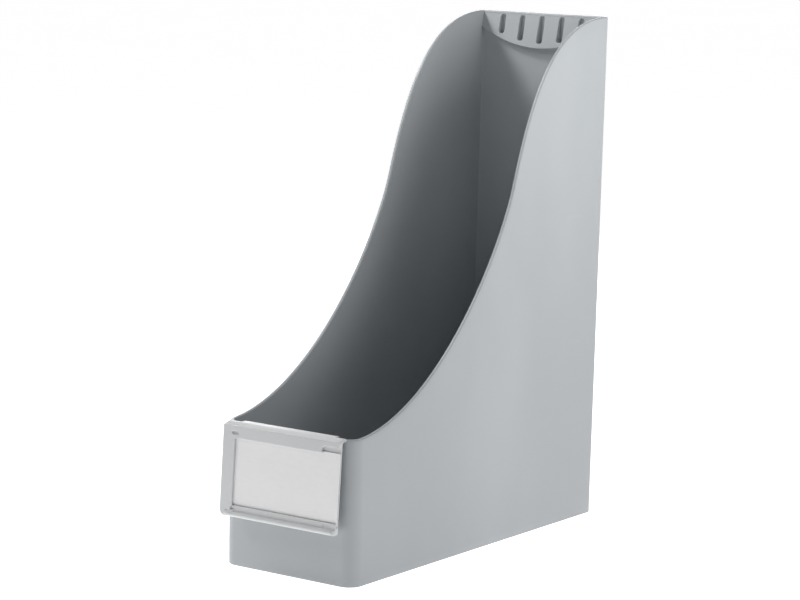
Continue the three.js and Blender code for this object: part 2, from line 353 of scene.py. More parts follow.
@dataclass
class Bin:
    """Open moulded bin with leaning walls, an S-shaped rim and a finger rail in its back wall."""

    width: float = 100.0
    depth: float = 278.0
    height: float = 336.0
    front_height: float = 91.0
    wall: float = 2.5
    floor: float = 2.6
    front_lean: float = math.tan(math.radians(0.5))
    back_lean: float = math.tan(math.radians(0.4))
    front_radius: float = 9.5
    back_radius: float = 1.0
    back_radius_loss: float = 0.2
    bend_from_front: float = 171.0
    bend_height: float = 233.0
    bend_angle: float = math.radians(72.0)
    front_pull: float = 83.0
    lower_pull: float = 51.0
    upper_pull: float = 62.0
    shoulder_pull: float = 62.0
    rim_radius: float = 0.95
    foot_radius: float = 0.5
    inner_foot_radius: float = 1.6
    step_reach: float = 36.3
    step_height: float = 89.9
    rail_drop: float = 24.0
    rail_end_rise: float = 14.0
    rail_proud: float = 5.0
    rail_land: float = 1.5
    rail_edge: float = 0.8
    pockets: int = 5
    pocket_pitch: float = 15.6
    pocket_width: float = 4.8
    pocket_top_land: float = 1.7
    pocket_bottom_land: float = 3.2
    pocket_mouth: float = 0.3
    recess_reach: float = 36.0
    recess_skin: float = 0.85
    pocket_skin: float = 1.0
    rail_back: float = 0.5
    mouth_share: float = 0.06
    pocket_wall: float = 0.35
    recess_top: float = 2.0
    recess_step: float = 0.4
    recess_stop: float = 1.6
    wall_rows: int = 30
    side_stations: int = 200
    front_stations: int = 41
    back_stations: int = 49

    def __post_init__(self) -> None:
        """Takes the place of the back wall from the frame."""
        self.back_at_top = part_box("file_body")[1].y / MM
        self.front_at_top = self.back_at_top - self.depth

    def front_face(self, z: Array) -> Array:
        """Y of the front wall's outer face at a height."""
        return self.front_at_top + (self.height - z) * self.front_lean

    def back_face(self, z: Array) -> Array:
        """Y of the back wall's outer face at a height."""
        return self.back_at_top - (self.height - z) * self.back_lean

    def leaning(self, share: Array, z: Array) -> Array:
        """Y at a share of the way from the front face to the back face, at a height."""
        return self.front_face(z) + share * (self.back_face(z) - self.front_face(z))

    def depth_share(self, y: Array, z: Array) -> Array:
        """Share of the way from the front face to the back face that a Y is at, at a height."""
        return (y - self.front_face(z)) / (self.back_face(z) - self.front_face(z))

    def rail_lower_edge(self, x: Array) -> Array:
        """Height of the rail's lower edge: an arch, lowest at mid width."""
        return self.height - self.rail_drop + self.rail_end_rise * (x / (self.width / 2)) ** 2

    def rim_curve(self) -> Array:
        """Side profile of the rim in Y and Z, front to back: two cubic curves that meet at the bend."""
        bend = np.array([self.front_at_top + self.bend_from_front, self.bend_height])
        step = np.array([math.cos(self.bend_angle), math.sin(self.bend_angle)])
        front = np.array([self.front_at_top, self.front_height])
        back = np.array([self.back_at_top, self.height])
        low = [front, front + [self.front_pull, 0], bend - step * self.lower_pull, bend]
        high = [bend, bend + step * self.upper_pull, back - [self.shoulder_pull, 0], back]
        return np.vstack([bezier(np.array(low), 600), bezier(np.array(high), 600)[1:]])

    def side_places(self, clear: float) -> Array:
        """Y of the side walls' points at floor level, in equal steps along the rim above them.

        Args:
            clear: Distance kept from the back face.

        Returns:
            Places from front to back, short of both corners.
        """
        low, high = self.front_face(0.0), self.back_face(0.0)
        curve = self.rim_curve()
        share = self.depth_share(curve[:, 0], curve[:, 1])
        at_floor = np.column_stack([low + share * (high - low), curve[:, 1]])
        y = along(at_floor, np.linspace(0, 1, self.side_stations))[:, 0]
        return y[(y > low + self.front_radius + 0.4) & (y < high - clear)]

    def plan(self) -> tuple[Array, Array, Array]:
        """Outer outline at floor level, counter-clockwise seen from above, dense where the shape turns.

        Returns:
            Points, inward moves per millimetre, and the distance walked, ending one point short of the start.
        """
        half = self.width / 2
        y0, y1 = self.front_face(0.0), self.back_face(0.0)
        clear = self.wall + self.inner_foot_radius + self.back_radius / 2
        side = self.side_places(clear)
        reach = half - self.front_radius
        front_x = crisp(np.linspace(-reach, reach, self.front_stations)[1:-1], self.step_reach)
        back_x = crisp(np.linspace(clear - half, half - clear, self.back_stations), self.recess_reach)
        front = (self.front_radius, 1.0)
        back = (self.back_radius, self.back_radius_loss)
        runs = [
            straight_run(front_x, y0, (0, -1)),
            corner_run((half, y0), *front, -math.pi / 2, 16),
            straight_run(half, side, (1, 0)),
            corner_run((half, y1), *back, 0, 8),
            straight_run(back_x[::-1], y1, (0, 1)),
            corner_run((-half, y1), *back, math.pi / 2, 8),
            straight_run(-half, side[::-1], (-1, 0)),
            corner_run((-half, y0), *front, math.pi, 16),
        ]
        points, inwards = (np.vstack(part) for part in zip(*runs))
        return points, inwards, walk(points)

    def rim_height(self, points: Array) -> Array:
        """Height of the rim over outline points, with the step for the holder's hook.

        The rim's height at a place's Y is read off the side profile. Y itself leans with height, so the two
        are worked out in turn until they agree.

        Args:
            points: Outline points at floor level.

        Returns:
            Height over each point.
        """
        curve = self.rim_curve()
        share = self.depth_share(points[:, 1], 0.0)
        z = np.full(len(points), self.front_height)
        for _ in range(12):
            z = np.interp(self.leaning(share, z), curve[:, 0], curve[:, 1])
        notch = within(self.step_reach, points[:, 0]) * (self.front_height - self.step_height)
        return z - np.where(self.on_front(points), notch, 0.0)

    def on_front(self, points: Array) -> Array:
        """Which outline points lie on the front wall."""
        return points[:, 1] < self.front_face(0.0) + ON_FACE

    def underside_rows(self, grid: "ShellGrid") -> list[Array]:
        """Rows from the middle of the underside out and round the foot."""
        foot = self.foot_radius
        rows = [grid.place(grid.walked, foot, 0.0, scale) for scale in FLOOR_SCALES]
        return rows + [grid.place(grid.walked, depth, z) for z, depth in edge_turn(foot)]

    def outside_rows(self, grid: "ShellGrid") -> list[Array]:
        """Rows up the outside, from the foot to the rim's rounding."""
        low = self.foot_radius
        top = grid.rim - grid.step_z * self.rim_radius
        steps = np.linspace(0, 1, self.wall_rows)[1:-1]
        return [grid.wall_row(0.0, low, low + (top - low) * step) for step in steps]

    def rim_rows(self, grid: "ShellGrid") -> list[Array]:
        """Rows over the rounded rim, from outside to inside."""
        turn = edge_turn(self.rim_radius)
        outer = [grid.rim_row(depth, down) for depth, down in turn]
        inner = [grid.rim_row(self.wall - depth, down) for depth, down in turn[::-1]]
        return [*outer, grid.rim_row(self.wall / 2, 0.0), *inner]

    def inside_rows(self, grid: "ShellGrid") -> list[Array]:
        """Rows down the inside, set back behind the finger rail to leave room for its pockets.

        The recess starts under the rim and ends above the rail's lower edge, so the rail hides both its ends.

        Args:
            grid: The bin's grid.

        Returns:
            Rows from the rim's rounding to the floor's.
        """
        low = self.floor + self.inner_foot_radius
        x, y = grid.points[:, 0], grid.points[:, 1]
        on_back = y > self.back_face(0.0) - ON_FACE
        recessed = np.where(on_back, within(self.recess_reach, x), 0.0)
        side_depth = self.rail_drop - self.rail_end_rise
        rail_depth = np.where(on_back, self.height - self.rail_lower_edge(x), side_depth)
        recess_depth = self.wall - recessed * (self.wall - self.recess_skin)
        start = self.recess_top + self.recess_step
        rows = [grid.wall_row(self.wall, low, grid.rim - self.recess_top)]
        for part in np.linspace(0, 1, 6):
            down = start + (rail_depth - self.recess_stop - start) * part
            rows.append(grid.wall_row(recess_depth, low, grid.rim - down))
        bottom = grid.rim - rail_depth + self.recess_stop - self.recess_step
        steps = np.linspace(0, 1, self.wall_rows)[:-1]
        return rows + [grid.wall_row(self.wall, low, bottom + (low - bottom) * step) for step in steps]

    def floor_rows(self, grid: "ShellGrid") -> list[Array]:
        """Rows round the inner foot and over the floor to its middle."""
        foot = self.inner_foot_radius
        rows = [grid.place(grid.walked, self.wall + depth, self.floor + z) for depth, z in edge_turn(foot)]
        flat = [grid.place(grid.walked, self.wall + foot, self.floor, scale) for scale in FLOOR_SCALES[::-1]]
        return rows + flat

    def shell_mesh(self) -> Piece:
        """Floor and walls as one closed grid.

        One parameter runs round the plan. The other goes from the middle of the underside up the outside,
        over the rounded rim, down the inside and over the floor to its middle.

        Returns:
            The object.
        """
        grid = ShellGrid(self)
        rows = self.underside_rows(grid) + self.outside_rows(grid) + self.rim_rows(grid)
        rows += self.inside_rows(grid) + self.floor_rows(grid)
        return stack_piece("bin_shell", np.stack(rows), sharp=35.0)

    def pocket_centres(self) -> Array:
        """X of each pocket, evenly spaced about the middle."""
        return (np.arange(self.pockets) - (self.pockets - 1) / 2) * self.pocket_pitch

    def pocket_depth_share(self, x: Array, z: Array) -> Array:
        """How deep into a pocket each rail point is, 0 on the land and 1 on the pocket's floor.

        The distance to the nearest pocket's slot outline (a bar with round ends) is turned into a soft mouth
        followed by a steep wall.

        Args:
            x: Places across the rail.
            z: Heights on the rail.

        Returns:
            Share of the full depth.
        """
        radius = self.pocket_width / 2
        share = np.zeros(np.broadcast(x, z).shape)
        for centre in self.pocket_centres():
            low = self.rail_lower_edge(np.array(centre)) + self.pocket_bottom_land + radius
            high = self.height - self.pocket_top_land - radius
            inside = radius - np.hypot(x - centre, z - np.clip(z, low, high))
            mouth = self.mouth_share * smooth(0.0, self.pocket_mouth, inside)
            fall = smooth(self.pocket_mouth * 0.8, self.pocket_mouth + self.pocket_wall, inside)
            fall = (1 - self.mouth_share) * fall
            share = np.maximum(share, mouth + fall)
        return share

    def rail_stations(self) -> Array:
        """Places across the rail, close together at each pocket's sides.

        Returns:
            Ascending places, in one column.
        """
        reach = (self.width - self.wall) / 2
        radius = self.pocket_width / 2
        sides = np.linspace(radius - 1.1, radius + 0.15, 12)
        offsets = np.concatenate([sides, np.linspace(0, radius - 1.3, 4)])
        centres = self.pocket_centres()[:, None]
        near = np.concatenate([(centres + offsets).ravel(), (centres - offsets).ravel()])
        x = np.unique(np.round(np.concatenate([np.linspace(-reach, reach, 70), near]), 3))
        return x[np.concatenate([[True], np.diff(x) > 0.06])][:, None]

    def rail_mesh(self) -> Piece:
        """Finger rail: a wedge with an arched lower edge and five slots.

        For each place across the bin the section goes down the sloping front, round the lower edge, back
        along the underside and up inside the wall. Slots push the front back to a floor near the outer skin.

        Returns:
            The object.
        """
        x = self.rail_stations()
        lower = self.rail_lower_edge(x)
        top = self.height - self.rail_land
        edge = self.rail_edge
        inner = self.back_at_top - self.wall
        taper = self.rail_proud / (top - (self.height - self.rail_drop))
        ends, middle = np.linspace(0, 0.24, 24), np.linspace(0.24, 0.66, 16)[1:]
        steps = np.concatenate([ends, middle, np.linspace(0.66, 1, 44)[1:]])
        z_front = top - (top - lower - edge) * steps[None]
        y_front = inner - taper * (top - z_front)
        y_floor = self.back_face(z_front) - self.pocket_skin
        y_front = y_front + (y_floor - y_front) * self.pocket_depth_share(x, z_front)
        turn = QUARTER[None, 1:]
        y_nose = inner - taper * (top - lower - edge) + edge * (1 - np.cos(turn))
        z_nose = lower + edge * (1 - np.sin(turn))
        under = np.linspace(0, 1, 6)[None, 1:]
        y_under = y_nose[:, -1:] + (inner + 0.8 - y_nose[:, -1:]) * under
        y_rear = np.full((len(x), 2), self.back_at_top - self.rail_back)
        z_rear = np.concatenate([lower + 1.3, np.full_like(lower, top - 0.8)], axis=1)
        y_close, z_close = np.full_like(lower, inner + 0.4), np.full_like(lower, top + 0.1)
        y = np.concatenate([y_front, y_nose, y_under, y_rear, y_close], axis=1)
        z = np.concatenate([z_front, z_nose, lower + 0.35 * under, z_rear, z_close], axis=1)
        return stack_piece("finger_rail", np.stack([np.broadcast_to(x, y.shape), y, z], axis=2), sharp=50.0)

    def build(self, finish: "Finish") -> Pieces:
        """Makes and dresses the bin's pieces, which together stand for the bin's solid."""
        made = [self.shell_mesh(), self.rail_mesh()]
        return dress(made, finish, Body.BIN, "file_body")


class ShellGrid:
    """Rows of points round a bin's plan, each at its own depth into the wall and its own height."""

    def __init__(self, bin_part: Bin) -> None:
        """Works out the plan, the rim over it and the direction square to the rim at each point."""
        self.bin = bin_part
        self.points, inwards, self.walked = bin_part.plan()
        length = self.walked[-1] + np.linalg.norm(self.points[0] - self.points[-1])
        self.table = np.concatenate([self.walked - length, self.walked, self.walked + length])
        self.columns = np.tile(np.hstack([self.points, inwards]), (3, 1)).T
        self.rim = bin_part.rim_height(self.points)
        count = len(self.points)
        rise = np.gradient(np.tile(self.rim, 3), self.table)[count : 2 * count]
        slope = np.arctan(np.where(bin_part.on_front(self.points), 0.0, rise))
        self.step_s, self.step_z = -np.sin(slope), np.cos(slope)

    def place(self, s: Array, depth: Array, z: Array, scale: float = 1.0) -> Array:
        """Row of points, or that row drawn towards the plan's middle.

        A plan point is moved in by its depth, then Y is stretched between the leaning walls at its height.

        Args:
            s: Distances walked round the plan.
            depth: Depth into the wall.
            z: Heights.
            scale: 1 for the row itself, less to draw it in.

        Returns:
            One point per distance.
        """
        x, y, move_x, move_y = (np.interp(s, self.table, column) for column in self.columns)
        x = (x + depth * move_x) * scale
        share = 0.5 + (self.bin.depth_share(y + depth * move_y, 0.0) - 0.5) * scale
        return np.column_stack([x, self.bin.leaning(share, z), np.broadcast_to(z, x.shape)])

    def rim_row(self, depth: float, down: float) -> Array:
        """Row at a depth into the wall and a distance down, measured square to the rim."""
        return self.place(self.walked - self.step_s * down, depth, self.rim - self.step_z * down)

    def wall_row(self, depth: Array, low: float, z: Array) -> Array:
        """Row on a wall face at given heights, drifting back under the rim it started square to."""
        r = self.bin.rim_radius
        remaining = (z - low) / (self.rim - self.step_z * r - low)
        return self.place(self.walked - self.step_s * r * remaining, depth, z)


# ---- label holder


@dataclass
class LabelHolder:
    """Plate with a card window, hung on the front wall by a ledge and a hook, kept off it by two ribs."""

    bin: Bin
    width: float = 88.8
    height: float = 56.8
    thickness: float = 3.4
    stand_off: float = 7.3
    tilt: float = math.radians(3.3)
    corner: float = 4.0
    open_corner: float = 2.0
    top_corner: float = 1.0
    below_rim: float = 0.5
    ledge_rise: float = 1.3
    top_rail: float = 7.8
    bottom_rail: float = 7.4
    left_bar: float = 9.4
    lip: float = 1.2
    channel: float = 1.0
    tuck: float = 2.5
    window_corner: float = 0.9
    edge: float = 0.45
    bead_radius: float = 2.0
    bead_sink: float = 0.91
    notch_width: float = 13.0
    notch_depth: float = 4.4
    notch_corner: float = 2.2
    notch_floor: float = 2.15
    dimple_radius: float = 1.25
    dimple_reach: float = 1.2
    dimple_depth: float = 1.1
    groove_depth: float = 0.7
    strip_dimple: float = 0.35
    end_rounding: float = 0.3
    leg_stations: tuple[int, int, int] = (220, 150, 210)
    dimple_above: float = 3.4
    dimple_below: float = 1.7
    hook_width: float = 72.0
    hook_thickness: float = 1.6
    hook_leg: float = 9.0
    rib_spacing: float = 48.0
    rib_thickness: float = 1.6
    rib_foot: float = 4.0
    gap: float = 0.3

    def __post_init__(self) -> None:
        """Places worked out from the bin's front wall."""
        self.top_z = self.bin.front_height - self.below_rim
        self.face_y = float(self.bin.front_face(self.top_z)) - self.stand_off
        self.half = self.width / 2
        self.window_left = -self.half + self.left_bar
        self.window_low = -self.height + self.bottom_rail
        self.ledge_top = self.top_z + self.ledge_rise
        self.ledge_under = self.ledge_top - self.hook_thickness

    def wall_at(self, z: float) -> float:
        """Y just clear of the bin's front wall at a height."""
        return float(self.bin.front_face(z)) - self.gap

    def hung(self, places: Array) -> Array:
        """Turns points from the plate's own frame (face at y = 0, top at z = 0) to their place on the bin."""
        c, s = math.cos(self.tilt), math.sin(self.tilt)
        x, y, z = places[..., 0], places[..., 1], places[..., 2]
        return np.stack([x, self.face_y + c * y + s * z, self.top_z - s * y + c * z], axis=-1)

    def face_drop(self, x: Array, z: Array) -> Array:
        """How far the plate's front lies behind its face plane: edges, bead, strip and dimples.

        Edges use a quarter circle of the distance to each outline. The bead is a round bar sunk in the face,
        faded out near its ends. The strip between window and bead is a shallow step.

        Args:
            x: Places across the plate.
            z: Heights in the plate's own frame, 0 at its top.

        Returns:
            Depth behind the face, negative where it stands proud.
        """
        corner = np.where(x < 0, self.corner, self.open_corner)
        outer = -rectangle_distance(x, z, (-self.half, -self.height), (self.half, BEYOND), corner)
        outer = np.minimum(outer, -z)
        far = self.half + BEYOND
        low, high = (self.window_left, self.window_low), (far, -self.top_rail)
        window = rectangle_distance(x, z, low, high, self.window_corner)
        low = (self.half - self.notch_width, -self.top_rail - 20)
        high = (far, -self.top_rail + self.notch_depth)
        notch = rectangle_distance(x, z, low, high, self.notch_corner)
        drop = edge_drop(outer, self.edge) + edge_drop(np.minimum(window, notch), self.edge)
        ends = 1 - smooth(-1.2, 0.4, np.abs(x) - self.half + corner)
        drop = self.with_bead(drop, z + self.height, ends)
        return drop + self.strip_drop(x, z) + self.dimple_drop(x, z)

    def with_bead(self, drop: Array, rise: Array, ends: Array) -> Array:
        """Adds the bead to the face.

        Args:
            drop: Depth of the face without it.
            rise: Height above the plate's lower edge.
            ends: 1 along the bead, falling to 0 past its ends.

        Returns:
            Depth of the face.
        """
        radius = self.bead_radius
        reach = np.clip(radius - rise, -radius, radius)
        bead = self.bead_sink - np.sqrt(np.maximum(radius**2 - reach**2, 0.0))
        shape = np.where(rise < radius, bead, np.minimum(drop, bead))
        return drop + ends * np.where(rise < 2 * radius, shape - drop, 0.0)

    def strip_drop(self, x: Array, z: Array) -> Array:
        """Depth of the shallow strip between the window and the bead."""
        rise = z + self.height
        above_bead = smooth(2 * self.bead_radius - 0.6, 2 * self.bead_radius + 0.2, rise)
        under_window = 1 - smooth(self.bottom_rail - 0.3, self.bottom_rail + 0.1, rise)
        right_of_bar = smooth(self.window_left + 0.9, self.window_left + 1.9, x)
        return self.groove_depth * above_bead * under_window * right_of_bar

    def dimple_drop(self, x: Array, z: Array) -> Array:
        """Depth of the four corner dimples, shallow cups with a soft mouth; the one in the strip is fainter.

        Args:
            x: Places across the plate.
            z: Heights in the plate's own frame.

        Returns:
            Depth behind the face.
        """
        drop = np.zeros_like(x)
        upper, lower = -self.top_rail + self.dimple_above, self.window_low - self.dimple_below
        for cx, cz, reach, share in (
            (self.window_left, upper, self.dimple_reach, 1.0),
            (self.window_left, lower, 0.0, 1.0),
            (-self.window_left, upper, 0.0, 1.0),
            (-self.window_left, lower, 0.0, self.strip_dimple),
        ):
            beside = x - cx - np.clip(x - cx, -reach, reach)
            inside = self.dimple_radius - np.hypot(beside, z - cz)
            drop = drop + self.dimple_depth * share * smooth(-0.15, 0.5, inside)
        return drop

    def lay(self, legs: list[list[Place]]) -> Array:
        """Joins a path's three legs, each at its own number of stations."""
        laid = []
        for leg, count in zip(legs, self.leg_stations):
            laid.append(along(rounded_path(leg, closed=False), np.linspace(0, 1, count)))
        return np.vstack([laid[0], laid[1][1:], laid[2][1:]])

    def frame_paths(self) -> tuple[Array, Array, Array]:
        """The C of the frame three times: its outer edge, its inner edge and the card channel's floor.

        Returns:
            Three paths with matching stations, from the upper right end round to the lower right end.
        """
        h, left, foot = self.half, self.window_left, -self.height
        top, low, rc = -self.top_rail, self.window_low, self.window_corner
        round_end = self.open_corner
        outer = [
            [(h, -self.top_corner, 0), (h, 0, self.top_corner), (0, 0, 0), (left, 0, 0)],
            [(left, 0, 0), (-h, 0, self.top_corner), (-h, foot, self.corner), (left, foot, 0)],
            [(left, foot, 0), (0, foot, 0), (h, foot, round_end), (h, foot + round_end, 0)],
        ]
        notch_x, notch_top = h - self.notch_width, top + self.notch_depth
        notch = [(h, notch_top, 0), (notch_x, notch_top, self.notch_corner), (notch_x, top, 0.5)]
        inner = [
            [*notch, (left + rc, top, 0)],
            [(left + rc, top, 0), (left, top, rc), (left, low, rc), (left + rc, low, 0)],
            [(left + rc, low, 0), (0, low, 0), (h, low, 0)],
        ]
        high, deep, far = top + self.tuck, low - self.tuck, left - self.tuck
        channel = [
            [(h, high, 0), (left + rc, high, 0)],
            [(left + rc, high, 0), (far, high, rc), (far, deep, rc), (left + rc, deep, 0)],
            [(left + rc, deep, 0), (h, deep, 0)],
        ]
        return self.lay(outer), self.lay(inner), self.lay(channel)

    def round_frame_ends(self, rings: Array, last_front: int) -> None:
        """Draws the first and last three rings towards the face's middle as they near the plate's open end.

        Args:
            rings: Rings of the frame, changed in place.
            last_front: Index of the last point on the face.
        """
        hub = rings[:, [0, last_front]].mean(axis=1, keepdims=True)
        angles = np.linspace(0, math.pi / 2, 4)[:-1]
        for end, sign in ((0, 1), (-1, -1)):
            for index, angle in enumerate(angles):
                station = end + sign * index
                to_hub = hub[station] - rings[station]
                size = np.maximum(np.linalg.norm(to_hub, axis=1, keepdims=True), 3 * self.end_rounding)
                pull = self.end_rounding * (1 - math.sin(angle))
                rings[station] = rings[station] + to_hub / size * pull
                rings[station, :, 0] = self.half - self.end_rounding * (1 - math.cos(angle))

    def frame_mesh(self) -> Piece:
        """C-shaped frame round the card window, open at the right.

        Rings stand across the frame at stations along its C. Each ring goes over the front face from the
        outer to the inner edge, under the lip to the card channel, and round the rear to the outer edge.

        Returns:
            The object.
        """
        outer, inner, channel = self.frame_paths()
        near = np.array([0, 0.004, 0.012, 0.025, 0.042, 0.065, 0.1])
        shares = np.concatenate([near, np.linspace(0.1, 0.9, 26)[1:-1], 1 - near[::-1]])
        face = outer[:, None] + (inner - outer)[:, None] * shares[None, :, None]
        drop = self.face_drop(face[..., 0], face[..., 1])
        front = np.stack([face[..., 0], drop, face[..., 1]], axis=2)
        in_notch = inner[:, 1] > -self.top_rail + self.tuck / 2
        in_notch &= inner[:, 0] > self.half - self.notch_width - 0.6
        under = np.where(in_notch, self.notch_floor, self.lip)
        deep = self.thickness
        middle = (channel + outer) / 2
        rows = [
            (inner, under),
            (channel, under),
            (channel, deep),
            (middle, deep),
            (outer + (middle - outer) * 0.12, deep),
            (outer + (middle - outer) * 0.03, deep - 0.12),
            (outer, deep - 0.4),
        ]
        behind = [np.insert(path, 1, y, axis=1)[:, None] for path, y in rows]
        rings = np.concatenate([front, *behind], axis=1)
        self.round_frame_ends(rings, len(shares) - 1)
        return stack_piece("holder_frame", self.hung(rings)[::-1], sharp=38.0)

    def panel_mesh(self) -> Piece:
        """Back panel behind the card: a flat sheet let into the frame, its rings drawn towards its middle.

        Returns:
            The object.
        """
        low = (self.window_left - self.tuck - 1.0, self.window_low - self.tuck - 1.0)
        high = (self.half - 0.02, -self.top_rail + self.tuck + 1.0)
        lower = [(low[0], low[1], 0.6), (high[0], low[1], 0.3)]
        outline = even_loop([*lower, (high[0], high[1], 0.3), (low[0], high[1], 0.6)], 160)
        front, back, edge = self.lip + self.channel, self.thickness - 0.1, 0.15
        levels = [(0.6, back), (edge, back), (0.0, back - edge)]
        levels += [(0.0, front + edge), (edge, front), (0.6, front)]
        rings = [np.insert(inset_path(outline, inset), 1, y, axis=1) for inset, y in levels]
        return stack_piece("holder_panel", self.hung(np.stack(rings)), sharp=45.0)

    def ledge_mesh(self) -> Piece:
        """Sloping ledge from the plate's top edge back to the wall, as wide as the plate."""
        wall_y, high, under = self.wall_at(self.top_z), self.ledge_top, self.ledge_under
        t = self.hook_thickness
        outline = [
            (self.face_y + 1.6, self.top_z - t, 0.2),
            (wall_y - t, under, 0.8),
            (wall_y, under, 0.1),
            (wall_y, high, 0.1),
            (wall_y - t, high, 1.6),
            (self.face_y + 0.9, self.top_z - 0.02, 0.5),
            (self.face_y + 0.5, self.top_z - 0.5, 0.2),
        ]
        return bar_across("holder_ledge", rounded_path(outline, steps=5), -self.half, self.half, 0.3)

    def hook_mesh(self) -> Piece:
        """Hook: a bridge over the bin's front wall and a short leg inside it."""
        wall_y, high, under = self.wall_at(self.top_z), self.ledge_top, self.ledge_under
        foot = under - self.hook_leg
        leg_front = float(self.bin.front_face(foot)) + self.bin.wall + self.gap
        leg_back = leg_front + self.hook_thickness
        outline = [
            (wall_y - 0.8, under + 0.1, 0.1),
            (leg_front, under, 0.3),
            (leg_front, foot, 0.6),
            (leg_back, foot, 0.6),
            (leg_back, high, 1.2),
            (wall_y, high, 0.3),
            (wall_y - 0.8, high - 0.4, 0.1),
        ]
        reach = self.hook_width / 2
        return bar_across("holder_hook", rounded_path(outline, steps=5), -reach, reach, 0.35)

    def rib_mesh(self, name: str, x: float) -> Piece:
        """Upright rib between the plate's back and the wall.

        Args:
            name: Name of the piece.
            x: Middle of the rib.

        Returns:
            The object.
        """
        foot = self.top_z - self.height * math.cos(self.tilt) + self.rib_foot
        top = self.ledge_under - 0.1
        into = self.thickness - (self.thickness - self.lip - self.channel) / 2

        def plate(z: float) -> float:
            """Y of the middle of the back panel at a height."""
            return self.face_y - (self.top_z - z) * math.tan(self.tilt) + into

        outline = [(plate(foot), foot, 0.2), (self.wall_at(foot), foot, 0.8)]
        outline += [(self.wall_at(top), top, 0.2), (plate(top), top, 0.2)]
        half = self.rib_thickness / 2
        return bar_across(name, rounded_path(outline, steps=4), x - half, x + half, 0.25)

    def build(self, finish: "Finish") -> Pieces:
        """Makes and dresses the holder's pieces, which together stand for the holder's solid."""
        reach = self.rib_spacing / 2
        made = [self.frame_mesh(), self.panel_mesh(), self.ledge_mesh(), self.hook_mesh()]
        made += [self.rib_mesh("holder_rib_left", -reach), self.rib_mesh("holder_rib_right", reach)]
        return dress(made, finish, Body.HOLDER, "label_holder")


@dataclass
class LabelCard:
    """Paper card that slides in behind the holder's lips."""

    holder: LabelHolder
    thickness: float = 0.4
    tuck: float = 2.2
    top_tuck: float = 0.9
    corner: float = 0.8
    bow: float = 0.2

    def sheet_mesh(self) -> Piece:
        """Thin sheet with round corners and a slight bow.

        Rings drawn towards the middle give a grid on each face. The bow moves a point forward by bow times
        1 - (2u)^2, where u is its share of the height from the middle.

        Returns:
            The object.
        """
        holder = self.holder
        left, right = holder.window_left - self.tuck, holder.half
        low = holder.window_low - self.tuck
        high = -holder.top_rail + self.top_tuck
        corners = [(left, low), (right, low), (right, high), (left, high)]
        outline = even_loop([(*corner, self.corner) for corner in corners], 240, steps=6)
        centre = np.array([(left + right) / 2, (low + high) / 2])
        front = holder.lip + (holder.channel - self.thickness) / 2
        back = front + self.thickness
        shares = np.linspace(0.02, 1.0, 16)
        levels = [(s, back) for s in shares] + [(s, front) for s in shares[::-1]]
        rings = [np.insert(centre + (outline - centre) * share, 1, y, axis=1) for share, y in levels]
        rings = np.stack(rings)
        rise = (rings[..., 2] - centre[1]) / (high - low)
        rings[..., 1] -= self.bow * (1 - (2 * rise) ** 2)
        return stack_piece("card_sheet", holder.hung(rings), sharp=50.0)

    def build(self, finish: "Finish") -> Pieces:
        """Makes and dresses the card."""
        return dress([self.sheet_mesh()], finish, Body.CARD, "label_card")


# ---- finishes


class Sock:
    """A node socket that can be used in Python arithmetic."""

    def __init__(self, tree: "Tree", value: object) -> None:
        """Keeps the tree that new Math nodes go to, and the socket."""
        self.tree = tree
        self.value = value

    def _math(self, operation: str, a: object, b: object) -> "Sock":
        """Adds one Math node on two values."""
        return self.tree.node("ShaderNodeMath", {"operation": operation}, {0: a, 1: b})

    def __add__(self, other: object) -> "Sock":
        """Sum."""
        return self._math("ADD", self, other)

    def __radd__(self, other: object) -> "Sock":
        """Sum, reflected."""
        return self._math("ADD", other, self)

    def __mul__(self, other: object) -> "Sock":
        """Product."""
        return self._math("MULTIPLY", self, other)

    def __rmul__(self, other: object) -> "Sock":
        """Product, reflected."""
        return self._math("MULTIPLY", other, self)


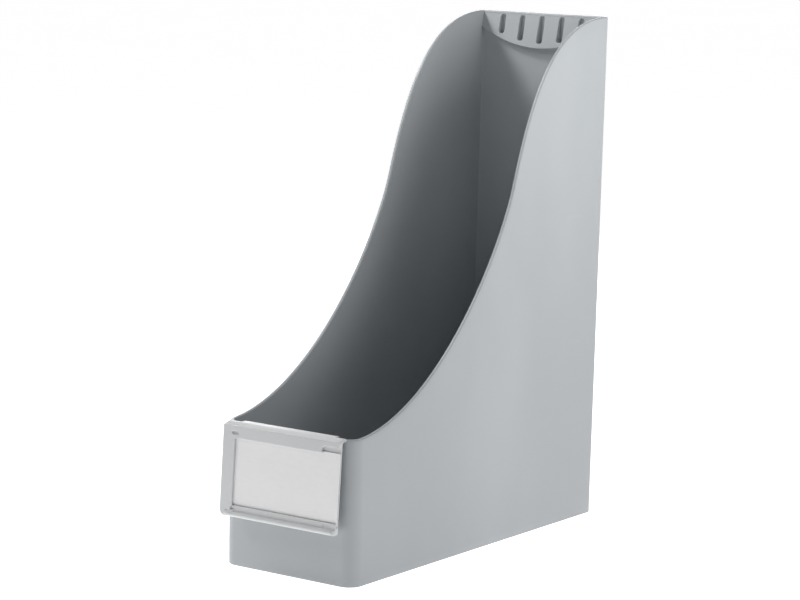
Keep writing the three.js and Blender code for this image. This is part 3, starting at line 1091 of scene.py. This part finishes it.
class Tree:
    """Node tree of one material."""

    def __init__(self, name: str) -> None:
        """Makes the material and empties its tree."""
        self.material = bpy.data.materials.new(name)
        self.material.use_nodes = True
        self.nodes = self.material.node_tree.nodes
        self.links = self.material.node_tree.links
        self.nodes.clear()

    def node(self, kind: str, settings: Values, inputs: Values, out: int | str = 0) -> Sock:
        """Adds a node: settings first, then values or links of its sockets.

        Args:
            kind: Blender's node type.
            settings: Attributes of the node.
            inputs: Socket index or name to a number, a colour or another socket.
            out: Output to return.

        Returns:
            The chosen output.
        """
        made = self.nodes.new(kind)
        for key, value in settings.items():
            setattr(made, key, value)
        for key, value in inputs.items():
            if isinstance(value, Sock):
                self.links.new(value.value, made.inputs[key])
            else:
                made.inputs[key].default_value = value
        return Sock(self, made.outputs[out])

    def noise(self, scale: float, detail: float, roughness: float = 0.5, stretch: Place = (1, 1, 1)) -> Sock:
        """Noise over Object coordinates, in features per metre.

        Args:
            scale: Features per metre.
            detail: Octaves of finer noise.
            roughness: Weight of the finer octaves.
            stretch: Scale of each axis before the noise is read.

        Returns:
            Value near 0.5, from 0 to 1.
        """
        place = self.node("ShaderNodeTexCoord", {}, {}, "Object")
        place = self.node("ShaderNodeMapping", {}, {"Vector": place, "Scale": stretch})
        inputs = {"Vector": place, "Scale": scale, "Detail": detail, "Roughness": roughness}
        return self.node("ShaderNodeTexNoise", {}, inputs, "Fac")

    def ramp(self, value: Sock, low: float, high: float) -> Sock:
        """Smooth step of a value between two levels."""
        settings = {"interpolation_type": "SMOOTHSTEP"}
        return self.node("ShaderNodeMapRange", settings, {"Value": value, "From Min": low, "From Max": high})

    def mix(self, share: Sock, first: tuple | Sock, second: tuple | Sock) -> Sock:
        """Colour between two colours."""
        settings = {"data_type": "RGBA"}
        return self.node("ShaderNodeMix", settings, {0: share, 6: first, 7: second}, 2)

    def bump(self, height: Sock, strength: float, depth: float, under: Sock | None = None) -> Sock:
        """Normal bent by a height, on top of another bent normal if one is given."""
        inputs = {"Strength": strength, "Distance": depth, "Height": height}
        return self.node("ShaderNodeBump", {}, inputs | ({"Normal": under} if under else {}))

    def close(self, inputs: Values) -> bpy.types.Material:
        """Adds the Principled shader and puts it on the output.

        Args:
            inputs: Its sockets' values and links.

        Returns:
            The finished material.
        """
        shader = self.node("ShaderNodeBsdfPrincipled", {}, inputs)
        output = self.nodes.new("ShaderNodeOutputMaterial")
        self.links.new(shader.value, output.inputs["Surface"])
        return self.material


def linear(red: int, green: int, blue: int) -> tuple[float, float, float, float]:
    """Linear colour of an sRGB colour given in 0-255 steps."""
    parts = [v / 255 for v in (red, green, blue)]
    parts = [v / 12.92 if v <= 0.04045 else ((v + 0.055) / 1.055) ** 2.4 for v in parts]
    return (*parts, 1.0)


@dataclass(frozen=True)
class Finish:
    """What every finish can do."""

    name: str

    def material(self) -> bpy.types.Material:
        """Builds the material."""
        raise NotImplementedError


@dataclass(frozen=True)
class MouldedPlastic(Finish):
    """Satin injection-moulded plastic with fine grain, faint flow marks and light handling scuffs."""

    colour: Colour
    flow_colour: Colour
    scuff_colour: Colour
    roughness: float
    grain_depth: float

    def material(self) -> bpy.types.Material:
        """Builds the material: colour from flow marks, specks and scuffs, normal from grain and waves.

        Returns:
            The material.
        """
        tree = Tree(self.name)
        flow = tree.ramp(tree.noise(9.0, 3.0, 0.55, (1.0, 1.0, 0.45)), 0.35, 0.68)
        specks = tree.ramp(tree.noise(900.0, 2.0), 0.66, 0.8)
        scuffs = tree.ramp(tree.noise(60.0, 5.0, 0.7, (1.0, 0.35, 2.5)), 0.6, 0.74)
        colour = tree.mix(flow, linear(*self.colour), linear(*self.flow_colour))
        colour = tree.mix(scuffs * 0.22 + specks * 0.25, colour, linear(*self.scuff_colour))
        grain = tree.noise(2600.0, 2.0, 0.6) + 0.5 * tree.noise(1100.0, 1.0)
        waves = tree.noise(28.0, 1.0)
        bump = tree.bump(grain, 0.6, self.grain_depth)
        bump = tree.bump(waves, 0.5, WAVE_DEPTH, bump)
        rough = self.roughness + 0.1 * scuffs + 0.05 * flow
        return tree.close({"Base Color": colour, "Roughness": rough, "Normal": bump, "IOR": 1.49})


@dataclass(frozen=True)
class CardPaper(Finish):
    """Uncoated white card: soft fibre mottling and a slightly uneven face."""

    colour: Colour
    fibre_colour: Colour

    def material(self) -> bpy.types.Material:
        """Builds the material: long and short fibres in colour and bump.

        Returns:
            The material.
        """
        tree = Tree(self.name)
        long_fibres = tree.ramp(tree.noise(420.0, 4.0, 0.65, (0.35, 1.0, 1.0)), 0.42, 0.66)
        cloud = tree.ramp(tree.noise(70.0, 3.0), 0.35, 0.7)
        colour = tree.mix(long_fibres * 0.22 + cloud * 0.12, linear(*self.colour), linear(*self.fibre_colour))
        height = tree.noise(1500.0, 3.0, 0.6) + 0.6 * long_fibres
        bump = tree.bump(height, 0.5, FIBRE_DEPTH)
        rough = 0.86 + 0.06 * cloud
        surface = {"Base Color": colour, "Roughness": rough, "Normal": bump}
        return tree.close({**surface, "Specular IOR Level": 0.25})


BIN_FINISH = MouldedPlastic(
    name="bin_plastic",
    colour=(170, 174, 177),
    flow_colour=(165, 169, 172),
    scuff_colour=(184, 187, 189),
    roughness=0.42,
    grain_depth=0.00004,
)
HOLDER_FINISH = MouldedPlastic(
    name="holder_plastic",
    colour=(202, 204, 205),
    flow_colour=(197, 199, 200),
    scuff_colour=(212, 214, 215),
    roughness=0.36,
    grain_depth=0.00003,
)
PAPER_FINISH = CardPaper("card_paper", colour=(233, 233, 234), fibre_colour=(224, 224, 224))


def dress(made: Pieces, finish: Finish, body: Body, node: str) -> Pieces:
    """Gives pieces their finish and the body they move with, and hides the solid they stand for.

    Args:
        made: The pieces.
        finish: Their finish.
        body: Body of the frame they ride on.
        node: Solid they stand for.

    Returns:
        The same pieces.
    """
    material = finish.material()
    for piece in made:
        piece.data.materials.append(material)
        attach(piece, body.value)
        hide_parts(node)
        log.info("%s: %d faces, rides on %s", piece.name, len(piece.data.polygons), body.value)
    return made


# ---- studio


@dataclass(frozen=True)
class Softbox:
    """Square area light; lengths in metres, power in watts."""

    name: str
    place: Place
    aim: Place
    size: float
    power: float

    def build(self) -> None:
        """Adds the light, turned towards its aim."""
        data = bpy.data.lights.new(self.name, "AREA")
        data.size = self.size
        data.energy = self.power
        lamp = add_object(self.name, data)
        lamp.location = self.place
        towards = Vector(self.aim) - Vector(self.place)
        lamp.rotation_euler = towards.to_track_quat("-Z", "Y").to_euler()


SOFTBOXES = (
    Softbox("side_soft", (0.37, 0.12, 0.4), (0.05, 0.1, 0.27), 0.25, 1.1),
    Softbox("front_soft", (-0.85, -0.75, 1.05), (0.0, -0.05, 0.15), 0.4, 4.6),
    Softbox("rim_soft", (-0.75, 1.1, 0.75), (0.0, 0.0, 0.25), 0.9, 9.0),
    Softbox("opening_soft", (-0.36, -0.1, 0.75), (0.03, 0.13, 0.3), 0.12, 2.5),
)


@dataclass
class Studio:
    """Wide pale floor that glows like a light table, soft lights and the camera.

    The floor's reach is in metres and the camera's place in millimetres.
    """

    floor_reach: float = 16.0
    floor_glow: float = 0.92
    sky: float = 0.08
    camera_place: Place = (1011.38, -1453.39, 428.28)
    camera_right: Place = (0.81518865, 0.57870049, 0.02394178)
    camera_up: Place = (-0.10724058, 0.11018518, 0.98810864)
    lens: float = 125.571

    def floor(self) -> None:
        """Round floor: rings of points at growing distances from the middle, all at height 0."""
        angles = np.linspace(0, 2 * math.pi, 97)[:-1]
        reaches = self.floor_reach / MM * np.array([0.001, 0.02, 0.1, 0.4, 1.0])
        x = reaches[:, None] * np.cos(angles)
        y = reaches[:, None] * np.sin(angles)
        places = np.stack([x, y, np.zeros_like(x)], axis=2)
        faces = ring_faces(len(reaches), len(angles))[:, ::-1].tolist() + [list(range(len(angles)))]
        sheet = make_piece("floor", places.reshape(-1, 3), faces, sharp=60.0)
        tree = Tree("studio_white")
        patches = tree.ramp(tree.noise(3.0, 2.0), 0.3, 0.7)
        tone = tree.mix(patches, linear(250, 250, 250), linear(246, 246, 247))
        white = (1.0, 1.0, 1.0, 1.0)
        glow = {"Emission Color": white, "Emission Strength": self.floor_glow}
        surface = {"Base Color": tone, "Roughness": 0.9, "Specular IOR Level": 0.1}
        sheet.data.materials.append(tree.close(surface | glow))

    def camera(self) -> None:
        """Camera with its place, right and up directions; it looks against their cross product."""
        data = bpy.data.cameras.new("camera")
        data.lens = self.lens
        data.clip_end = 50.0
        camera = add_object("camera", data)
        right, up = Vector(self.camera_right), Vector(self.camera_up)
        turn = Matrix((right, up, right.cross(up))).transposed().to_4x4()
        camera.matrix_world = Matrix.Translation(Vector(self.camera_place) * MM) @ turn
        bpy.context.scene.camera = camera

    def build(self) -> None:
        """Sets up floor, world, lights and camera."""
        self.floor()
        world = bpy.data.worlds.new("studio")
        world.use_nodes = True
        background = world.node_tree.nodes["Background"]
        background.inputs["Color"].default_value = (1.0, 1.0, 1.0, 1.0)
        background.inputs["Strength"].default_value = self.sky
        bpy.context.scene.world = world
        bpy.context.scene.view_settings.view_transform = "Standard"
        for softbox in SOFTBOXES:
            softbox.build()
        self.camera()


def main() -> None:
    """Builds the bin, the label holder, the card and the studio, and reports each piece."""
    logging.basicConfig(level=logging.INFO, format="%(name)s: %(message)s")
    bin_part = Bin()
    bin_part.build(BIN_FINISH)
    holder = LabelHolder(bin_part)
    holder.build(HOLDER_FINISH)
    LabelCard(holder).build(PAPER_FINISH)
    Studio().build()


if __name__ == "__main__":
    main()
